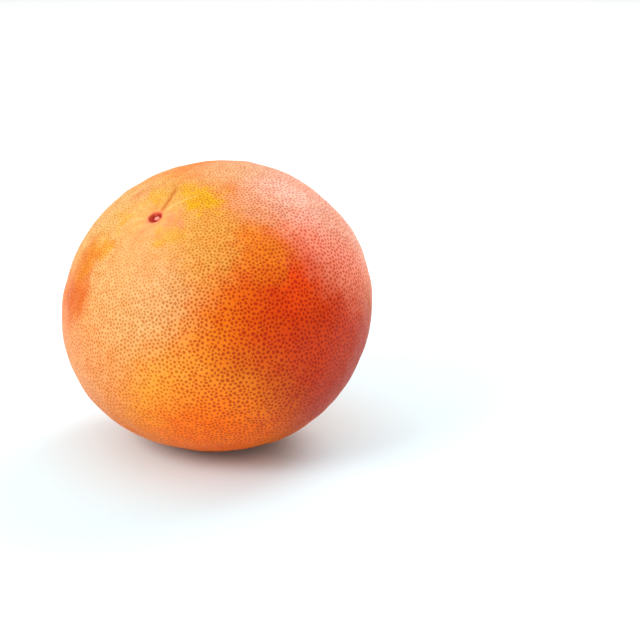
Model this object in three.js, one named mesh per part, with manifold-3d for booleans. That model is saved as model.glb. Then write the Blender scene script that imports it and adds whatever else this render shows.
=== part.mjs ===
// A whole grapefruit, picked, with its stalk gone. It is one grown piece, so it is one closed solid.
// Millimetres, +Z up. The origin is on the flat resting spot, under the middle of the fruit.
import * as THREE from "three";
import { mergeVertices } from "three/addons/utils/BufferGeometryUtils.js";
import Module from "manifold-3d";

// Driving dimensions: millimetres and degrees.
const MEAN_RADIUS = 53.8;
const STEM_SQUASH = 3.15; // how much the radius falls short at the stem end: the fruit's own oblateness
const WEIGHT_SQUASH = 1.6; // the same along the vertical, because a ripe fruit gives under its weight
const STEM_LEAN = 37; // angle of the stem axis from the vertical
const STEM_HEADING = 227; // which way it leans, counterclockwise from +X
const REST_CUT = 0.45; // height of the slice that leaves the resting spot flat

// Broad swells and hollows that keep the fruit from being a perfect spheroid.
// Each fades as a bell curve of the angle from the direction that it is centred on.
const SWELLS = [
  { name: "pressed underside", toward: [-0.13, -0.16, -1], reach: 27, height: -2.0 },
  { name: "front right haunch", toward: [0.5, -0.3, -0.8], reach: 19, height: 0.8 },
  { name: "left haunch", toward: [-0.88, -0.16, -0.44], reach: 20, height: 0.6 },
  { name: "left hollow", toward: [-0.96, 0.1, 0.27], reach: 15, height: -0.35 },
  { name: "right shoulder hollow", toward: [0.74, 0.23, 0.63], reach: 14, height: -0.6 },
  { name: "back swell", toward: [0.25, 0.95, -0.2], reach: 26, height: 0.7 },
  { name: "back shoulder hollow", toward: [-0.35, 0.8, 0.5], reach: 18, height: -0.5 },
];

// Relief that is centred on the stem axis. Distances run along the skin from the axis.
const STEM_DIMPLE = { reach: 9, depth: 0.9 };
const STALK_SCAR = { radius: 2.5, wall: 0.7, depth: 1.0 }; // the round pit that the stalk came off
const SCAR_PAD = { radius: 1.2, wall: 0.6, depth: -0.55 }; // the low button left in that pit
const BLOSSOM_DIMPLE = { reach: 6, depth: 0.5 };

const RINGS = 52; // from the stem end to the blossom end
const AROUND = 48;
const RING_CROWDING = 1.7; // over 1 draws the rings together round the stalk scar

const RIND = new THREE.MeshStandardMaterial({
  name: "rind",
  color: 0xf58a35,
  roughness: 0.45,
  metalness: 0,
});

const DEGREE = Math.PI / 180;
const stemAxis = new THREE.Vector3(
  Math.sin(STEM_LEAN * DEGREE) * Math.cos(STEM_HEADING * DEGREE),
  Math.sin(STEM_LEAN * DEGREE) * Math.sin(STEM_HEADING * DEGREE),
  Math.cos(STEM_LEAN * DEGREE),
);

const swells = SWELLS.map(({ toward, reach, height }) => ({
  toward: new THREE.Vector3(...toward).normalize(),
  reach: reach * DEGREE,
  height,
}));

// The second Legendre polynomial: 1 along an axis and -1/2 square to it, so it squashes and keeps the volume.
function squash(cosine) {
  return (3 * cosine * cosine - 1) / 2;
}

function bell(distance, reach) {
  return Math.exp(-((distance / reach) ** 2));
}

// 1 inside a round patch, 0 outside, with a smooth wall between.
function patch(distance, { radius, wall }) {
  return 1 - THREE.MathUtils.smoothstep(distance, radius - wall / 2, radius + wall / 2);
}

// How far below the plain body the skin lies at a distance from the stem axis.
function stemRelief(distance) {
  return (
    STEM_DIMPLE.depth * bell(distance, STEM_DIMPLE.reach) +
    STALK_SCAR.depth * patch(distance, STALK_SCAR) +
    SCAR_PAD.depth * patch(distance, SCAR_PAD)
  );
}

// The distance from the fruit's middle to its skin in a direction.
function skinRadius(direction) {
  const fromStem = direction.angleTo(stemAxis);
  let radius = MEAN_RADIUS;
  radius -= STEM_SQUASH * squash(direction.dot(stemAxis));
  radius -= WEIGHT_SQUASH * squash(direction.z);
  for (const { toward, reach, height } of swells) {
    radius += height * bell(direction.angleTo(toward), reach);
  }
  radius -= stemRelief(fromStem * MEAN_RADIUS);
  radius -= BLOSSOM_DIMPLE.depth * bell((Math.PI - fromStem) * MEAN_RADIUS, BLOSSOM_DIMPLE.reach);
  return radius;
}

// A ball of rings about the stem axis, each vertex moved out or in to the skin.
function grownBody() {
  const ball = new THREE.SphereGeometry(1, AROUND, RINGS);
  ball.deleteAttribute("normal");
  ball.deleteAttribute("uv");
  const stand = new THREE.Quaternion().setFromUnitVectors(new THREE.Vector3(0, 1, 0), stemAxis);
  const place = ball.getAttribute("position");
  const direction = new THREE.Vector3();
  const polar = new THREE.Spherical();
  for (let i = 0; i < place.count; i++) {
    polar.setFromVector3(direction.fromBufferAttribute(place, i));
    polar.phi = Math.PI * (polar.phi / Math.PI) ** RING_CROWDING;
    direction.setFromSpherical(polar).applyQuaternion(stand);
    direction.multiplyScalar(skinRadius(direction));
    place.setXYZ(i, direction.x, direction.y, direction.z);
  }
  return mergeVertices(ball);
}

const wasm = await Module();
wasm.setup();

function solidOf(geometry) {
  return new wasm.Manifold(
    new wasm.Mesh({
      numProp: 3,
      vertProperties: geometry.getAttribute("position").array,
      triVerts: new Uint32Array(geometry.index.array),
    }),
  );
}

function geometryOf(solid) {
  const mesh = solid.getMesh();
  const geometry = new THREE.BufferGeometry();
  geometry.setAttribute("position", new THREE.BufferAttribute(mesh.vertProperties, 3));
  geometry.setIndex(new THREE.BufferAttribute(mesh.triVerts, 1));
  return geometry;
}

// A block whose top face is where the fruit is sliced.
function slice(height) {
  const side = 4 * MEAN_RADIUS;
  const block = new THREE.BoxGeometry(side, side, side);
  block.deleteAttribute("normal");
  block.deleteAttribute("uv");
  block.translate(0, 0, height - side / 2);
  return mergeVertices(block);
}

function grapefruit() {
  const body = grownBody();
  body.computeBoundingBox();
  const rested = solidOf(body).subtract(solidOf(slice(body.boundingBox.min.z + REST_CUT)));
  const geometry = geometryOf(rested);
  geometry.computeBoundingBox();
  const middle = geometry.boundingBox.getCenter(new THREE.Vector3());
  geometry.translate(-middle.x, -middle.y, -geometry.boundingBox.min.z);
  geometry.computeVertexNormals();
  const mesh = new THREE.Mesh(geometry, RIND);
  mesh.name = "grapefruit";
  return mesh;
}

const fruit = new THREE.Group();
fruit.add(grapefruit());

export default fruit;
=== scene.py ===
import math

import bpy
import numpy as np
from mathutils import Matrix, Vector
from mathutils.geometry import delaunay_2d_cdt


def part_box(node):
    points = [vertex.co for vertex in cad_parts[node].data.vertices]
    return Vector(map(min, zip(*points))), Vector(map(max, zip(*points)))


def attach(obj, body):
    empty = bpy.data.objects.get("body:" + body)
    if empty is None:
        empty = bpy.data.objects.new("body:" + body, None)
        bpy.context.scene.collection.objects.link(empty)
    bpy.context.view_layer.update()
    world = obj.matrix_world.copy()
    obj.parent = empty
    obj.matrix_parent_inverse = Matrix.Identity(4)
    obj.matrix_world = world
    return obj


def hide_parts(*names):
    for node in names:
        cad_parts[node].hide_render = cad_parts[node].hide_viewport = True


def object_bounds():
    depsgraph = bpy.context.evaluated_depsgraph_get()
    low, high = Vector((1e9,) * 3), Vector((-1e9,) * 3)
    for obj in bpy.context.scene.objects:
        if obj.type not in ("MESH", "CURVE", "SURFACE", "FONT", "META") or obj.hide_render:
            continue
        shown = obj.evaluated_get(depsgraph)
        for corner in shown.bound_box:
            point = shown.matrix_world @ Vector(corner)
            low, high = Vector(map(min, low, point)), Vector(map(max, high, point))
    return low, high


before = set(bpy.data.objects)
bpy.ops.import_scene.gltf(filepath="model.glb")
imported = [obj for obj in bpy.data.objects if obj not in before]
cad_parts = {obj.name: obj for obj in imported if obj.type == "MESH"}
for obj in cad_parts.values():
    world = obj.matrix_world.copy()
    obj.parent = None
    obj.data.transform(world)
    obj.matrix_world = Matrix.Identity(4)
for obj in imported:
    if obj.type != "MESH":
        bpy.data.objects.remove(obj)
CAD_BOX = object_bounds()

MM = 0.001

# ------------------------------------------------ the fruit's shape, in millimetres and degrees
MEAN_RADIUS = 53.8
STEM_SQUASH = 3.15  # the radius is this much short at the stem end: the fruit's own oblateness
WEIGHT_SQUASH = 1.6  # the same along the vertical, because a ripe fruit gives under its weight
STEM_LEAN = 37  # angle of the stem axis from the vertical
STEM_HEADING = 227  # which way it leans, counterclockwise from +X

# Broad swells and hollows: the direction each is centred on, its reach in degrees and its height.
SWELLS = (
    ("pressed underside", (-0.13, -0.16, -1), 27, -2.0),
    ("front right haunch", (0.5, -0.3, -0.8), 19, 0.8),
    ("left haunch", (-0.88, -0.16, -0.44), 20, 0.6),
    ("left hollow", (-0.96, 0.1, 0.27), 15, -0.35),
    ("right shoulder hollow", (0.74, 0.23, 0.63), 14, -0.6),
    ("back swell", (0.25, 0.95, -0.2), 26, 0.7),
    ("back shoulder hollow", (-0.35, 0.8, 0.5), 18, -0.5),
)
STEM_DIMPLE_REACH, STEM_DIMPLE_DEPTH = 9, 0.9
SCAR_RADIUS, SCAR_WALL, SCAR_DEPTH = 2.5, 0.7, 1.0  # the round pit that the stalk came off
PAD_RADIUS, PAD_WALL, PAD_HEIGHT = 1.2, 0.6, 0.55  # the low button left in that pit
PAD_SHIFT = (0.009, -0.006, 0.0)  # how far the button lies off the stem axis, as a share of the radius
BLOSSOM_DIMPLE_REACH, BLOSSOM_DIMPLE_DEPTH = 6, 0.5

# Oil glands: each is a pit of one middle vertex and RIM_POINTS round its rim.
GLANDS = 18600
GLAND_SPACING_AT_STEM = 0.34  # share of the spacing elsewhere
STEM_CROWDING_REACH = 13
GLAND_SPACING_STEM_HALF = 0.84  # share of the spacing on the blossom half
GLAND_SPACING_CHANGE = (25, 65)  # from one half's spacing to the other's, at these distances from the stem
GLAND_RIM = 0.52  # the rim's radius, as a share of the local spacing
GLAND_DEPTH = 0.13
GLAND_SCATTER = 0.55  # how far a gland strays from the even spiral, as a share of the spacing
EVENING_STEPS = 6
EVENING_SHARE = 0.6  # how far each step takes a gland towards the middle of its neighbours
RIM_POINTS = 4
GLAND_SIZES = (0.82, 1.15)  # least and most, as a share of the usual rim
RIM_UNEVENNESS = (0.88, 1.12)  # the same for each point of a rim
FAINT_GLANDS = 0.04  # share of the glands that are half as deep
GLANDS_DEEPEN = (6, 24)  # from half to full depth, at these distances from the stem
GLANDS_BEGIN = (3.2, 5)  # from none to all of that, at these distances from the stem
GLANDS_END = (2, 8)  # the same from the blossom end
KEPT_POWER = 1.3  # where glands crowd, the share of them that shows is their spacing to this power

# Furrows and veins out of the stalk scar: angle round the stem axis and bend per 10 mm in degrees, start,
# end, width and depth in millimetres, and paleness: below 0 is brown.
FURROWS = (
    ("long furrow", 85, 10, 3.5, 16.5, 0.85, 0.35, -1.0),
    ("pale vein", 62, -4, 4.5, 19, 0.38, -0.08, 0.6),
    ("left streak", 203, 0, 4, 12, 0.7, -0.08, 0.3),
    ("curl below", 274, -100, 3.2, 8, 0.7, 0.08, 0.25),
    ("lower streak", 236, -6, 5, 12, 0.8, 0.15, 0.2),
    ("right crease", 28, 8, 3.5, 10, 0.8, 0.12, 0.15),
    ("back crease", 122, -5, 4, 12, 0.8, 0.20, -0.3),
    ("back streak", 158, 6, 4, 13, 0.7, -0.08, 0.25),
)
FURROW_FADE_IN = 0.8  # each one begins over this far to either side of its start
FURROW_FADE_OUT = 2.5  # and dies away over the last stretch of this length

# Broad unevenness of the skin: the length and height of each set of waves.
SKIN_WAVES = ((14, 0.10), (8, 0.05), (5, 0.03))
WAVES_IN_SET = 5
UNEVEN_ABOVE = 1  # they are whole from this height up, and gone on the resting spot
FLAT_ROLL_OFF = 0.12  # how softly the skin rolls off the flat resting spot

rng = np.random.default_rng(7)


def unit(v):
    """Vectors scaled to length 1, along the last axis."""
    v = np.asarray(v, float)
    return v / np.linalg.norm(v, axis=-1, keepdims=True)


def smooth(x, low, high):
    """0 below low, 1 above high, 3t^2 - 2t^3 between."""
    t = np.clip((x - low) / (high - low), 0, 1)
    return t * t * (3 - 2 * t)


def bell(distance, reach):
    """1 at distance 0, falling as exp(-(distance / reach)^2)."""
    return np.exp(-((distance / reach) ** 2))


def squash(cosine):
    """The second Legendre polynomial, 1 along an axis and -1/2 square to it."""
    return (3 * cosine**2 - 1) / 2


lean, heading = math.radians(STEM_LEAN), math.radians(STEM_HEADING)
STEM = np.array((math.sin(lean) * math.cos(heading), math.sin(lean) * math.sin(heading), math.cos(lean)))
# Two directions square to the stem axis: ACROSS is level, ALONG climbs.
ACROSS = unit(np.cross((0, 0, 1), STEM))
ALONG = np.cross(STEM, ACROSS)
PAD = unit(STEM + np.array(PAD_SHIFT))


def skin_distance(directions, toward):
    """Millimetres along the skin from a direction, taken as the arc on a ball of the mean radius."""
    return np.arccos(np.clip(directions @ unit(toward), -1, 1)) * MEAN_RADIUS


def skin_radius(directions):
    """Radius of the pitless skin: a ball squashed along the stem axis and the vertical, plus the swells."""
    radius = MEAN_RADIUS - STEM_SQUASH * squash(directions @ STEM) - WEIGHT_SQUASH * squash(directions[:, 2])
    for _, toward, reach, height in SWELLS:
        radius = radius + height * bell(skin_distance(directions, toward), math.radians(reach) * MEAN_RADIUS)
    return radius


def ends_relief(directions):
    """Depth below the skin at both ends: the stem dimple, the scar and its button, the blossom dimple."""
    stem, blossom = skin_distance(directions, STEM), skin_distance(directions, -STEM)
    depth = STEM_DIMPLE_DEPTH * bell(stem, STEM_DIMPLE_REACH)
    depth += SCAR_DEPTH * (1 - smooth(stem, SCAR_RADIUS - SCAR_WALL / 2, SCAR_RADIUS + SCAR_WALL / 2))
    pad = skin_distance(directions, PAD)
    depth -= PAD_HEIGHT * (1 - smooth(pad, PAD_RADIUS - PAD_WALL / 2, PAD_RADIUS + PAD_WALL / 2))
    return depth + BLOSSOM_DIMPLE_DEPTH * bell(blossom, BLOSSOM_DIMPLE_REACH)


# ------------------------------------------------ where the glands are
def gland_spacing(polar):
    """Relative spacing of the glands at a polar angle from the stem: 1 on the blossom half."""
    away = polar * MEAN_RADIUS
    near = 1 - smooth(away, 0.25 * STEM_CROWDING_REACH, STEM_CROWDING_REACH)
    crowding = 1 - (1 - GLAND_SPACING_AT_STEM) * near
    widening = (1 - GLAND_SPACING_STEM_HALF) * smooth(away, *GLAND_SPACING_CHANGE)
    return crowding * (GLAND_SPACING_STEM_HALF + widening)


def spiral_directions(count):
    """Directions on a spiral that turns by the golden angle each step, and their polar angles from the stem.

    The density of the glands, 1 / spacing^2, is summed over the ball from the stem down, and the polar angles
    are those at which the sum reaches equal steps.
    """
    polar = np.linspace(0, math.pi, 20001)
    crowd = np.cumsum(np.sin(polar) / gland_spacing(polar) ** 2)
    wanted = (np.arange(count) + 0.5) / count
    angle = np.interp(wanted, crowd / crowd[-1], polar)
    turn = np.arange(count) * math.pi * (3 - math.sqrt(5))
    flat = np.cos(turn)[:, None] * ACROSS + np.sin(turn)[:, None] * ALONG
    return np.sin(angle)[:, None] * flat + np.cos(angle)[:, None] * STEM, angle


def skin_triangles(directions):
    """Triangles that join directions on a ball, each to its nearest neighbours (Delaunay).

    A circle on the ball is a circle in the plane after stereographic projection from the blossom end, so
    the flat Delaunay triangulation is the ball's. The last direction is that end itself, at infinity in
    the plane: it closes the fan of triangles round the outer edge.
    """
    seen = directions[:-1]
    away = 1 + seen @ STEM
    plane = np.stack((seen @ ACROSS, seen @ ALONG), axis=1) / away[:, None]
    faces = np.array(delaunay_2d_cdt([Vector(p) for p in plane], [], [], 0, 1e-9, False)[2])
    edges = np.concatenate((faces[:, (0, 1)], faces[:, (1, 2)], faces[:, (2, 0)]))
    code = edges.min(1) * len(directions) + edges.max(1)
    _, first, uses = np.unique(code, return_index=True, return_counts=True)
    rim = edges[first[uses == 1]]
    last = np.full(len(rim), len(directions) - 1)
    return np.concatenate((faces, np.stack((rim[:, 1], rim[:, 0], last), axis=1)))


def beside(directions, turn):
    """Unit vectors square to each direction, at an angle round it: cos(turn) one way, sin(turn) the other."""
    aside = STEM + 1e-3  # a little off the stem axis, because no direction may lie along it
    side = unit(np.cross(directions, aside))
    other = np.cross(directions, side)
    return np.cos(turn)[..., None] * side + np.sin(turn)[..., None] * other


def evened(directions):
    """Directions moved in steps towards the mean of their neighbours. The last, the blossom end, stays."""
    for _ in range(EVENING_STEPS):
        faces = skin_triangles(directions)
        total, count = np.zeros_like(directions), np.zeros(len(directions))
        for a, b in ((0, 1), (1, 0), (1, 2), (2, 1), (2, 0), (0, 2)):
            np.add.at(total, faces[:, a], directions[faces[:, b]])
            np.add.at(count, faces[:, a], 1)
        mean = total / count[:, None]
        moved = unit((1 - EVENING_SHARE) * directions + EVENING_SHARE * mean)
        directions = np.concatenate((moved[:-1], directions[-1:]))
    return directions


def scattered_glands():
    """Directions of the glands, each one's distance to its neighbours in radians, and that as a share.

    They start on the spiral, stray from it at random and are evened out.
    """
    spiral, polar = spiral_directions(GLANDS)
    share = gland_spacing(polar)
    unit_area = 4 * math.pi / np.sum(share**2)
    reach = share * math.sqrt(unit_area * 2 / math.sqrt(3))
    turn = rng.uniform(0, 2 * math.pi, GLANDS)
    far = np.sqrt(rng.uniform(0, 1, GLANDS))
    strayed = unit(spiral + (GLAND_SCATTER * reach * far)[:, None] * beside(spiral, turn))
    return evened(np.concatenate((strayed, [-STEM])))[:-1], reach, share


def gland_strength(glands, share):
    """How deep and dark each gland is, 0 to 1: uneven, faint round the stem, some missing where crowded."""
    strength = rng.uniform(0.75, 1.0, GLANDS) * np.where(rng.uniform(0, 1, GLANDS) < FAINT_GLANDS, 0.5, 1)
    from_stem, from_blossom = skin_distance(glands, STEM), skin_distance(glands, -STEM)
    strength *= 0.5 + 0.5 * smooth(from_stem, *GLANDS_DEEPEN)
    strength *= smooth(from_stem, *GLANDS_BEGIN)
    strength *= rng.uniform(0, 1, GLANDS) < (share / GLAND_SPACING_STEM_HALF) ** KEPT_POWER
    return strength * smooth(from_blossom, *GLANDS_END)


# ------------------------------------------------ the rind
def furrow_marks(directions):
    """Depth and paleness of the furrows and veins that run out from the stalk scar.

    Each runs along a line from the scar that bends as it goes: a bell across the line, faded in and out
    along it.
    """
    away = skin_distance(directions, STEM)
    turn = np.arctan2(directions @ ALONG, directions @ ACROSS)
    depth, pale = np.zeros(len(directions)), np.zeros(len(directions))
    for _, angle, bend, start, end, width, sink, shade in FURROWS:
        off = turn - math.radians(angle) - math.radians(bend) * (away - start) / 10
        ahead = np.cos(off) > 0
        begun = smooth(away, start - FURROW_FADE_IN, start + FURROW_FADE_IN)
        ended = smooth(away, end - FURROW_FADE_OUT, end)
        mark = bell(away * np.sin(off), width) * begun * (1 - ended) * ahead
        depth += sink * mark
        pale += shade * mark
    return depth, pale


def broad_relief(directions):
    """Soft unevenness of the skin, as depth: sets of sine waves that cross each other at random."""
    depth = np.zeros(len(directions))
    for wavelength, height in SKIN_WAVES:
        for _ in range(WAVES_IN_SET):
            toward = unit(rng.normal(size=3))
            phase = rng.uniform(0, 2 * math.pi)
            wave = np.sin(directions @ toward * 2 * math.pi * MEAN_RADIUS / wavelength + phase)
            depth += height / math.sqrt(WAVES_IN_SET) * wave
    return depth - depth.min()


def standing_fruit(directions):
    """The pitless fruit as it stands in the frame, in millimetres, and its centre.

    skin_radius in every direction, scaled to the frame's width and put with its top at the frame's height.
    Its underside is levelled: a height h becomes a * log(1 + e^(h / a)), with a the roll-off.
    """
    low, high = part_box("grapefruit")
    body = skin_radius(directions)[:, None] * directions
    body *= (high.x - low.x) / MM / np.ptp(body[:, 0])
    middle = (body.max(0) + body.min(0)) / 2
    middle[2] = body[:, 2].max() - high.z / MM
    body -= middle
    body[:, 2] = FLAT_ROLL_OFF * np.logaddexp(0, body[:, 2] / FLAT_ROLL_OFF)
    body[:, 2] -= body[:, 2].min()
    return body, -middle


def rind():
    """The rind as one closed mesh, and the fruit's centre in metres.

    Its vertices are each gland's middle and rim, joined to their nearest neighbours. They lie on the standing
    fruit, and the relief of the ends, furrows, broad unevenness and gland pits is taken off inwards.
    """
    glands, reach, share = scattered_glands()
    size = rng.uniform(*GLAND_SIZES, GLANDS)[:, None] * rng.uniform(*RIM_UNEVENNESS, (GLANDS, RIM_POINTS))
    start = rng.uniform(0, 2 * math.pi, GLANDS)
    turn = start[:, None] + np.arange(RIM_POINTS) * 2 * math.pi / RIM_POINTS
    radius = (GLAND_RIM * reach[:, None] * size)[..., None]
    rim = unit(glands[:, None] + radius * beside(glands[:, None], turn))
    points = np.concatenate((glands[:, None], rim), axis=1).reshape(-1, 3)
    directions = np.concatenate((points, [-STEM]))

    pit = np.zeros((GLANDS, 1 + RIM_POINTS))
    pit[:, 0] = gland_strength(glands, share)
    pit = np.append(pit.reshape(-1), 0)
    furrow, pale = furrow_marks(directions)
    body, centre = standing_fruit(directions)
    depth = ends_relief(directions) + furrow + GLAND_DEPTH * pit
    depth += broad_relief(directions) * smooth(body[:, 2], 0, UNEVEN_ABOVE)
    body -= depth[:, None] * directions

    mesh = bpy.data.meshes.new("grapefruit_rind")
    mesh.from_pydata((body * MM).tolist(), [], skin_triangles(directions).tolist())
    for name, values in (("gland", pit), ("pale", pale)):
        mesh.attributes.new(name, "FLOAT", "POINT").data.foreach_set("value", values.astype(np.float32))
    mesh.shade_smooth()
    mesh.update()
    piece = bpy.data.objects.new("grapefruit_rind", mesh)
    bpy.context.scene.collection.objects.link(piece)
    return piece, centre * MM


# ------------------------------------------------ materials
def linear(code, alpha=1.0):
    """An sRGB hex colour as linear RGBA."""
    srgb = np.array([int(code[i : i + 2], 16) for i in (1, 3, 5)]) / 255
    out = np.where(srgb <= 0.04045, srgb / 12.92, ((srgb + 0.055) / 1.055) ** 2.4)
    return (*out.tolist(), alpha)


def add(tree, kind, sockets=None, **settings):
    """Adds a node: settings are its properties, sockets its inputs, each a value or an output to link."""
    made = tree.nodes.new(kind)
    for name, value in settings.items():
        setattr(made, name, value)
    for key, value in (sockets or {}).items():
        socket = made.inputs[key] if isinstance(key, int) else next(
            s for s in made.inputs if s.enabled and key in (s.name, s.identifier))
        if isinstance(value, bpy.types.NodeSocket):
            tree.links.new(value, socket)
        else:
            socket.default_value = value
    return made


# Colour of the rind: where each patch is centred, the distances in millimetres within which it is full and
# beyond which it is gone, its colour and its share. Later ones lie over earlier ones.
BASE_COLOUR = "#E87A0A"
SMALL_PATCH = 12  # patches that are gone nearer than this have torn borders
# Besides the skin's own colours, some patches hold painted light: a painted highlight on the left cheek,
# painted sheen on the shoulders and the top edge, and painted shade low on the right side.
PATCHES = (
    ("yellow round the stem", (-0.44, -0.40, 0.80), 14, 46, "#D69E4C", 1.0),
    ("yellow upper left edge", (-0.75, 0.0, 0.66), 10, 34, "#DAB068", 0.9),
    ("lower front gold", (-0.20, -0.93, -0.30), 8, 40, "#F09E34", 0.85),
    ("deep orange front", (0.20, -0.97, 0.12), 6, 30, "#E07200", 0.85),
    # Pale skin of the left cheek, lightened further by a painted highlight where the key lamp's sheen falls.
    ("left cheek with painted highlight", (-0.56, -0.74, 0.40), 14, 37, "#DAA468", 0.95),
    ("pale forehead", (0.0, -0.74, 0.67), 6, 22, "#DEA048", 0.8),
    ("lower left flush", (-0.84, -0.50, -0.20), 8, 32, "#E09658", 0.9),
    ("back yellow", (-0.50, 0.70, 0.30), 20, 60, "#DC9838", 0.7),
    ("back blush", (0.65, 0.70, 0.15), 10, 46, "#E87848", 0.5),
    ("underside", (0.02, -0.80, -0.60), 10, 34, "#FF7400", 0.9),
    # Red blush low on the right side, darkened and browned by painted shade.
    ("red right side with painted shade", (0.80, -0.55, -0.25), 14, 42, "#BE2E00", 0.95),
    ("red cheek", (0.60, -0.76, 0.28), 12, 39, "#DC4000", 0.95),
    ("bright top of the cheek", (0.54, -0.76, 0.37), 3, 13, "#F44E04", 0.75),
    ("orange wedge", (0.31, -0.73, 0.61), 4, 16, "#EA8014", 0.8),
    ("pink shoulder", (0.76, -0.25, 0.60), 12, 33, "#FC9478", 1.0),
    ("rose forehead", (0.32, -0.42, 0.85), 4, 18, "#E09C74", 0.8),
    # Pale pink skin of the back shoulder, lightened further by a painted sheen.
    ("pale back shoulder and painted sheen", (0.52, 0.0, 0.85), 12, 36, "#DEA88C", 0.95),
    # Pink skin of the far right shoulder, lightened by a painted sheen along the edge.
    ("pale right shoulder and painted sheen", (0.80, 0.12, 0.60), 8, 36, "#F4B49A", 0.8),
    # Top edge lightened to pale peach by a painted sheen.
    ("pale top edge and painted sheen", (0.10, -0.02, 1.0), 5, 19, "#DAA674", 0.8),
    ("gold by the vein", (-0.14, -0.31, 0.94), 2.5, 9, "#DCA400", 0.95),
    ("gold beyond the vein", (-0.07, -0.44, 0.90), 2.5, 9, "#DCA400", 0.95),
    ("gold by the furrow", (-0.40, -0.24, 0.89), 1, 6, "#DA9E1C", 0.8),
    ("gold below the scar", (-0.31, -0.63, 0.71), 1.5, 8, "#DAA02C", 0.7),
    ("gold left of the scar", (-0.60, -0.26, 0.76), 1.5, 8, "#DAA02C", 0.7),
    ("rose left of the scar", (-0.52, -0.13, 0.84), 2, 8, "#D8925A", 0.7),
    ("rose right of the scar", (-0.29, -0.52, 0.81), 1.5, 6, "#DC905E", 0.8),
    ("rose below the scar", (-0.46, -0.50, 0.74), 1, 5, "#DA905E", 0.7),
    ("gold on the left", (-0.77, -0.36, 0.53), 2, 10, "#D89818", 0.8),
    ("orange left edge", (-0.91, -0.36, 0.20), 5, 15, "#CE6600", 1.0),
    ("orange upper left edge", (-0.86, -0.28, 0.44), 3, 12, "#D47C00", 0.95),
)

# What the oil in a gland multiplies the rind's colour by, over all and then in patches of the same kind.
OIL_TINT = "#DEBE84"
OIL_TINTS = (
    ("front", (0.40, -0.90, 0.0), 20, 54, "#CC901C"),
    ("pink shoulder", (0.72, -0.10, 0.68), 20, 40, "#DC9C88"),
    # A paler oil tint, so the dots fade where the painted highlight lies on the upper left cheek.
    ("upper left cheek with painted highlight", (-0.46, -0.62, 0.64), 6, 26, "#ECD2A0"),
)

# Rings of the stalk scar: distance from the stem axis in millimetres, colour and cover.
SCAR_SPAN = 6.0
SCAR_RINGS = (
    (0.0, "#C04838", 1.0),
    (1.4, "#942014", 1.0),
    (1.9, "#902014", 1.0),
    (2.4, "#B83A24", 1.0),
    (2.8, "#DC5C3C", 0.9),
    (3.4, "#F0805C", 0.4),
    (5.0, "#F0A050", 0.0),
)


def wandering(tree, place, size, reach):
    """Vectors that wander over size metres by up to half of reach, for borders that aren't even."""
    noise = add(tree, "ShaderNodeTexNoise",
                {"Vector": place, "Scale": 1 / size, "Detail": 3.0, "Roughness": 0.6}).outputs["Color"]
    middle = (0.5, 0.5, 0.5)
    centred = add(tree, "ShaderNodeVectorMath", {0: noise, 1: middle}, operation="SUBTRACT").outputs[0]
    return add(tree, "ShaderNodeVectorMath", {0: centred, "Scale": reach}, operation="SCALE").outputs[0]


def nearness(tree, where, direction, full, gone, share=1.0):
    """How much of a patch is at a place: share within full millimetres of a direction, 0 beyond gone."""
    distance = add(tree, "ShaderNodeVectorMath", {0: where, 1: unit(direction).tolist()},
                   operation="DISTANCE").outputs["Value"]
    return add(tree, "ShaderNodeMapRange", {
        "Value": distance, "From Min": gone / MEAN_RADIUS, "From Max": full / MEAN_RADIUS, "To Max": share,
    }, interpolation_type="SMOOTHSTEP").outputs["Result"]


def patched(tree, strayed, torn):
    """The rind's colour without its marks: every patch laid over the base, small ones with torn borders, some
    of them painted highlight, sheen or shade.
    """
    colour = linear(BASE_COLOUR)
    for name, direction, full, gone, code, share in PATCHES:
        where = torn if gone < SMALL_PATCH else strayed
        here = nearness(tree, where, direction, full, gone, share)
        colour = add(tree, "ShaderNodeMix", {"Factor": here, "A": colour, "B": linear(code)},
                     data_type="RGBA", label=name).outputs["Result"]
    return colour


def mottled(tree, place, colour):
    """Mottling of the flavedo: redder clouds 5 mm across and redder grains 0.7 mm across."""
    most_of_the_tint = 0.5
    for size in (0.005, 0.0007):
        cloud = add(tree, "ShaderNodeTexNoise",
                    {"Vector": place, "Scale": 1 / size, "Detail": 2.0}).outputs["Fac"]
        redder = add(tree, "ShaderNodeMapRange", {
            "Value": cloud, "From Min": 0.45, "From Max": 0.75, "To Max": most_of_the_tint,
        }).outputs["Result"]
        colour = add(tree, "ShaderNodeMix", {"Factor": redder, "A": colour, "B": linear("#FCD8B0")},
                     data_type="RGBA", blend_type="MULTIPLY").outputs["Result"]
    return colour


def furrowed(tree, colour):
    """The pale veins and the brown furrow at the stem, by the mesh's own attribute."""
    mark = add(tree, "ShaderNodeAttribute", attribute_name="pale").outputs["Fac"]
    brown = add(tree, "ShaderNodeMath", {0: mark, 1: -0.8}, operation="MULTIPLY", use_clamp=True).outputs[0]
    for share, code in ((mark, "#F8C080"), (brown, "#C06018")):
        colour = add(tree, "ShaderNodeMix", {"Factor": share, "A": colour, "B": linear(code)},
                     data_type="RGBA").outputs["Result"]
    return colour


def glanded(tree, toward, colour):
    """Glands: the oil shows through as a dot, brown on the yellow skin, plainest on the front, faint under
    the painted highlight.
    """
    oil = linear(OIL_TINT)
    for name, direction, full, gone, code in OIL_TINTS:
        here = nearness(tree, toward, direction, full, gone)
        oil = add(tree, "ShaderNodeMix", {"Factor": here, "A": oil, "B": linear(code)},
                  data_type="RGBA", label=name).outputs["Result"]
    gland = add(tree, "ShaderNodeAttribute", attribute_name="gland").outputs["Fac"]
    dot = add(tree, "ShaderNodeMapRange", {"Value": gland, "From Max": 0.5},
              interpolation_type="SMOOTHSTEP").outputs["Result"]
    return add(tree, "ShaderNodeMix", {"Factor": dot, "A": colour, "B": oil},
               data_type="RGBA", blend_type="MULTIPLY").outputs["Result"]


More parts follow.
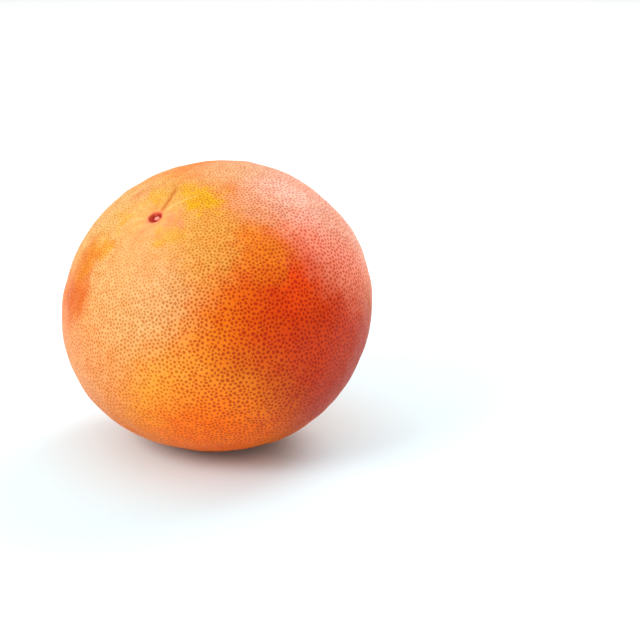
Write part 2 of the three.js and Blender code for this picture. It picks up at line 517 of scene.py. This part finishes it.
def scarred(tree, uneven, colour):
    """The stalk scar in uneven rings about the stem axis, its pale button, and the dry blossom end."""
    to_stem = add(tree, "ShaderNodeVectorMath", {0: uneven, 1: STEM.tolist()},
                  operation="DISTANCE").outputs["Value"]
    along = add(tree, "ShaderNodeMath", {0: to_stem, 1: MEAN_RADIUS / SCAR_SPAN},
                operation="MULTIPLY").outputs[0]
    ramp = add(tree, "ShaderNodeValToRGB", {"Fac": along})
    elements = ramp.color_ramp.elements
    while len(elements) < len(SCAR_RINGS):
        elements.new(1)
    for element, (distance, code, alpha) in zip(elements, SCAR_RINGS):
        element.position = distance / SCAR_SPAN
        element.color = linear(code, alpha)
    colour = add(tree, "ShaderNodeMix",
                 {"Factor": ramp.outputs["Alpha"], "A": colour, "B": ramp.outputs["Color"]},
                 data_type="RGBA").outputs["Result"]
    button, dry_end = (PAD, 0.9, 1.45, "#DE8672", 1.0), (-STEM, 1.0, 2.6, "#94602C", 0.85)
    for direction, full, gone, code, share in (button, dry_end):
        here = nearness(tree, uneven, direction, full, gone, share)
        colour = add(tree, "ShaderNodeMix", {"Factor": here, "A": colour, "B": linear(code)},
                     data_type="RGBA").outputs["Result"]
    return colour


def rind_material(centre):
    """Citrus flavedo, grown and then waxed: dark oil glands under a satin, slightly uneven film.

    The film gives a broad soft sheen, the flavedo its warm mottled colour, and the glands the dots; that
    colour also holds painted highlight, sheen and shade.
    """
    material = bpy.data.materials.new("waxed_citrus_rind")
    material.use_nodes = True
    tree = material.node_tree
    tree.nodes.clear()
    place = add(tree, "ShaderNodeTexCoord").outputs["Object"]
    from_centre = add(tree, "ShaderNodeVectorMath", {0: place, 1: centre}, operation="SUBTRACT").outputs[0]
    toward = add(tree, "ShaderNodeVectorMath", {0: from_centre}, operation="NORMALIZE").outputs[0]

    # The patches' borders drift over 16 mm and are flecked over 4 mm.
    drift = wandering(tree, place, 0.016, 0.22)
    flecks = wandering(tree, place, 0.004, 0.17)
    drifted = add(tree, "ShaderNodeVectorMath", {0: toward, 1: drift}, operation="ADD").outputs[0]
    strayed = add(tree, "ShaderNodeVectorMath", {0: drifted, 1: flecks}, operation="ADD").outputs[0]
    torn = add(tree, "ShaderNodeVectorMath", {0: strayed, 1: flecks}, operation="ADD").outputs[0]
    wobble = add(tree, "ShaderNodeVectorMath", {0: flecks, "Scale": 0.25}, operation="SCALE").outputs[0]
    uneven = add(tree, "ShaderNodeVectorMath", {0: toward, 1: wobble}, operation="ADD").outputs[0]

    colour = patched(tree, strayed, torn)
    colour = mottled(tree, place, colour)
    colour = furrowed(tree, colour)
    colour = glanded(tree, toward, colour)
    colour = scarred(tree, uneven, colour)

    # The wax lies unevenly over 4 mm, and the skin between the glands has a grain of 0.5 mm.
    wax = add(tree, "ShaderNodeTexNoise", {"Vector": place, "Scale": 1 / 0.004, "Detail": 2.0})
    roughness = add(tree, "ShaderNodeMapRange", {"Value": wax.outputs["Fac"], "To Min": 0.36, "To Max": 0.50})
    grain = add(tree, "ShaderNodeTexNoise", {"Vector": place, "Scale": 1 / 0.0005, "Detail": 2.0})
    bump = add(tree, "ShaderNodeBump", {"Height": grain.outputs["Fac"], "Strength": 0.25, "Distance": 0.0001})
    shader = add(tree, "ShaderNodeBsdfPrincipled", {
        "Base Color": colour, "Roughness": roughness.outputs["Result"], "Normal": bump.outputs["Normal"],
        "IOR": 1.45, "Specular IOR Level": 0.15,
    })
    add(tree, "ShaderNodeOutputMaterial", {"Surface": shader.outputs[0]})
    return material


def paper_material():
    """Matt white paper: neutral, but very slightly cool near the fruit, whose orange light falls there."""
    material = bpy.data.materials.new("white_paper_sweep")
    material.use_nodes = True
    tree = material.node_tree
    place = add(tree, "ShaderNodeTexCoord").outputs["Object"]
    away = add(tree, "ShaderNodeVectorMath", {0: place}, operation="LENGTH").outputs["Value"]
    far = add(tree, "ShaderNodeMapRange", {"Value": away, "From Min": 0.15, "From Max": 0.5},
              interpolation_type="SMOOTHSTEP").outputs["Result"]
    colour = add(tree, "ShaderNodeMix", {"Factor": far, "A": linear("#DEF0F5"), "B": linear("#F6F8F8")},
                 data_type="RGBA").outputs["Result"]
    shader = tree.nodes["Principled BSDF"]
    shader.inputs["Roughness"].default_value = 0.9
    tree.links.new(colour, shader.inputs["Base Color"])
    return material


# ------------------------------------------------ studio
CAMERA_AZIMUTH, CAMERA_ELEVATION = 1.2, 18.2  # degrees, from straight in front
CAMERA_DISTANCE = 0.635
LENS = 100
AIM_BESIDE = (0.0367, 0, -0.0068)  # the camera looks this far beside the fruit's middle


def camera():
    """A long lens, looking past the fruit, which stands left of the middle of the frame."""
    low, high = CAD_BOX
    middle = Vector((0, 0, (low.z + high.z) / 2))
    data = bpy.data.cameras.new("camera")
    data.lens = LENS
    made = bpy.data.objects.new("camera", data)
    bpy.context.scene.collection.objects.link(made)
    a, e = math.radians(CAMERA_AZIMUTH), math.radians(CAMERA_ELEVATION)
    back = Vector((math.sin(a) * math.cos(e), -math.cos(a) * math.cos(e), math.sin(e)))
    made.location = middle + back * CAMERA_DISTANCE
    aim = middle + Vector(AIM_BESIDE)
    made.rotation_euler = (aim - made.location).to_track_quat("-Z", "Y").to_euler()
    bpy.context.scene.camera = made


def softbox(name, toward, distance, size, power):
    """A rectangular lamp that faces the fruit's middle, at a distance from it in a direction."""
    data = bpy.data.lights.new(name, "AREA")
    data.shape = "RECTANGLE"
    data.size, data.size_y = size
    data.energy = power
    made = bpy.data.objects.new(name, data)
    bpy.context.scene.collection.objects.link(made)
    middle = Vector((0, 0, 0.05))
    made.location = middle + Vector(toward).normalized() * distance
    made.rotation_euler = (middle - made.location).to_track_quat("-Z", "Y").to_euler()


def floor():
    bpy.ops.mesh.primitive_plane_add(size=8, location=(0, 0, 0))
    made = bpy.context.object
    made.name = "floor"
    made.data.materials.append(paper_material())


def surroundings():
    """A white room that is brightest at the upper left and darkest at the lower right."""
    world = bpy.data.worlds.new("studio")
    bpy.context.scene.world = world
    world.use_nodes = True
    tree = world.node_tree
    look = add(tree, "ShaderNodeTexCoord").outputs["Generated"]
    side = add(tree, "ShaderNodeVectorMath", {0: look, 1: (-0.55, 0.25, 0.8)},
               operation="DOT_PRODUCT").outputs["Value"]
    glow = add(tree, "ShaderNodeMapRange", {
        "Value": side, "From Min": -0.6, "From Max": 0.9, "To Min": 0.3, "To Max": 1.05,
    }).outputs["Result"]
    background = tree.nodes["Background"]
    background.inputs["Color"].default_value = linear("#FFFFFF")
    tree.links.new(glow, background.inputs["Strength"])


def studio():
    """Soft light: a key at the left, a weak fill in front and a lamp high at the back right."""
    floor()
    surroundings()
    softbox("key", (-0.83, -0.55, 0.7), 0.9, (0.45, 0.45), 4.75)
    softbox("front fill", (-0.5, -1, 0.12), 1.1, (0.8, 0.5), 0.9)
    softbox("top back", (0.55, 0.65, 0.72), 0.9, (0.6, 0.45), 5.2)
    bpy.context.scene.view_settings.view_transform = "Standard"
    camera()


studio()
fruit, centre = rind()
fruit.data.materials.append(rind_material(centre.tolist()))
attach(fruit, "root")
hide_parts("grapefruit")
